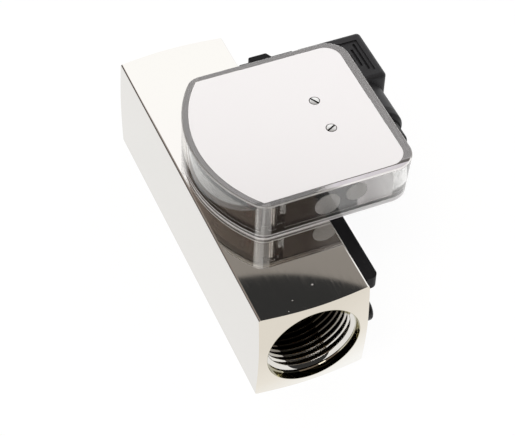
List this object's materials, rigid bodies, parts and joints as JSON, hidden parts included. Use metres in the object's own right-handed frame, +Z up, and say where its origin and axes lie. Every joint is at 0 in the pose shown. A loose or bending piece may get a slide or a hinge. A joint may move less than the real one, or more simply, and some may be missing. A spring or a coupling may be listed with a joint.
{
  "type": "variable area flow meter",
  "caption": "Inline spring-loaded variable area flow meter: square metal body with threaded ports, clear pointer display on top, and a side limit switch with an angled plug.",
  "frame": {"origin": "centre of the body's flat bottom face, midway between the two ports", "axes": "+Y along the flow from inlet to outlet, +X towards the limit switch, +Z up to the display"},
  "size_m": [0.0895, 0.132, 0.0563],
  "materials": {
    "nickel": "mirror-polished nickel plate on brass",
    "clear": "clear moulded polycarbonate",
    "bright_plate": "fine satin metal sheet",
    "steel": "turned stainless steel",
    "brass": "turned brass",
    "magnet": "sintered ferrite",
    "spring": "drawn spring wire",
    "pointer_red": "red lacquered sheet",
    "scale_film": "clear printed film",
    "black_plastic": "black glass-filled moulding",
    "black_steel": "blackened steel",
    "rubber": "black moulded rubber",
    "reed_glass": "sealed glass tube",
    "white_plastic": "natural nylon moulding"
  },
  "bodies": {
    "body": {"flow_body": "nickel", "metering_sleeve": "brass", "inlet_guide": "brass", "outlet_guide": "brass", "retaining_rings": "steel", "guide_rod": "steel", "return_spring": "spring", "base_plate": "clear", "display_case": "clear", "top_plate": "bright_plate", "plate_screws": "steel", "case_screws": "steel", "standoffs": "brass", "pivot_shaft": "steel", "bearing_bridge": "brass", "scale_strip": "scale_film", "switch_bracket": "black_plastic", "bracket_screws": "black_steel", "switch_box": "black_plastic", "switch_cover": "black_plastic", "cover_screws": "steel", "reed_carrier": "white_plastic", "reed_switch": "reed_glass", "connector_base": "black_plastic", "contact_pins": "brass", "plug_gasket": "rubber", "plug_housing": "black_plastic", "plug_insert": "black_plastic", "plug_screw": "steel", "gland_nut": "black_plastic", "gland_seal": "rubber"},
    "float": {"float": "brass", "float_magnet": "magnet", "float_cap": "brass"},
    "pointer": {"pointer_hub": "brass", "pointer_arm": "pointer_red", "pointer_magnet": "magnet", "pointer_counterweight": "brass"}
  },
  "joints": [
    {"name": "float_slide", "type": "slide", "parent": "body", "child": "float", "axis": [0, 1, 0], "range_m": [0, 0.039], "stiffness_N_per_m": 45, "springref_m": -0.008, "deforming": ["return_spring"]},
    {"name": "pointer_swing", "type": "hinge", "parent": "body", "child": "pointer", "pos_m": [0.0311, 0, 0.0465], "axis": [0, 0, -1], "range_deg": [0, 64]}
  ],
  "couplings": [
    {"joint": "pointer_swing", "follows": "float_slide", "rad_per_m": 28.641}
  ]
}
